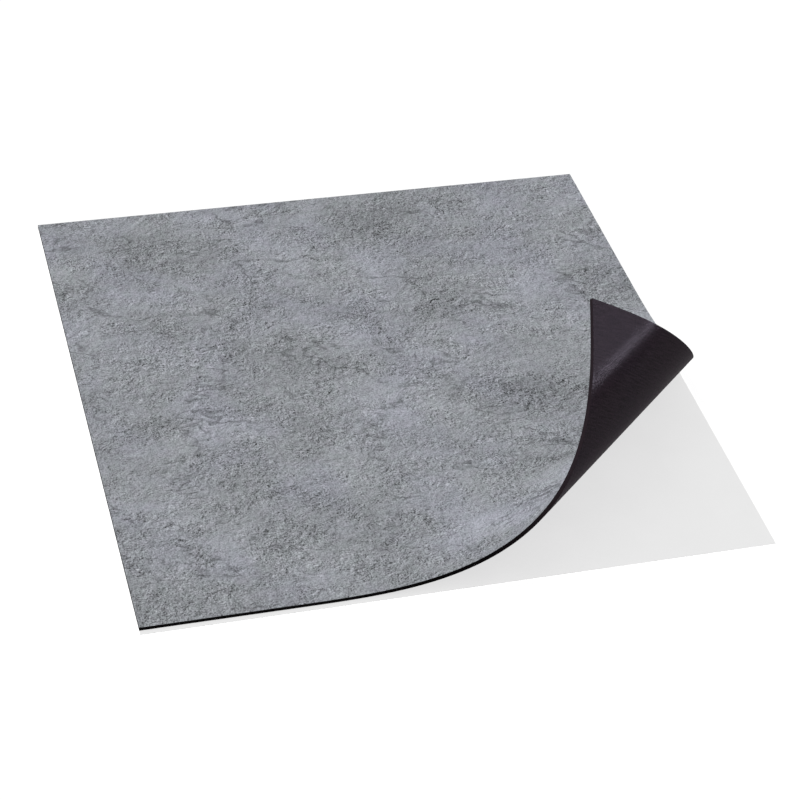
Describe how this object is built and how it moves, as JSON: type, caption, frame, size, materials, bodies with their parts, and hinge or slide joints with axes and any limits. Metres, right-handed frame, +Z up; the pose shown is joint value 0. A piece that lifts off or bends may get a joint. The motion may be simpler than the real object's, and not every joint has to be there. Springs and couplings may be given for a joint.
{
  "type": "vinyl floor tile",
  "caption": "Square self-adhesive vinyl floor tile with a grey stone pattern, on its release paper, with one corner peeled up and rolled back to show the dark underside.",
  "frame": {"origin": "middle of the tile's square outline, on the surface that the release paper lies on", "axes": "+X along the front edge to the right, +Y to the back, +Z up; the peeled corner is at +X, -Y"},
  "size_m": [0.3051, 0.3075, 0.09],
  "materials": {
    "vinyl": "satin, printed grey stone pattern with a black edge and underside",
    "paper": "smooth silicone-coated release paper"
  },
  "bodies": {
    "root": {"vinyl_tile": "vinyl", "release_paper": "paper"}
  },
  "joints": []
}
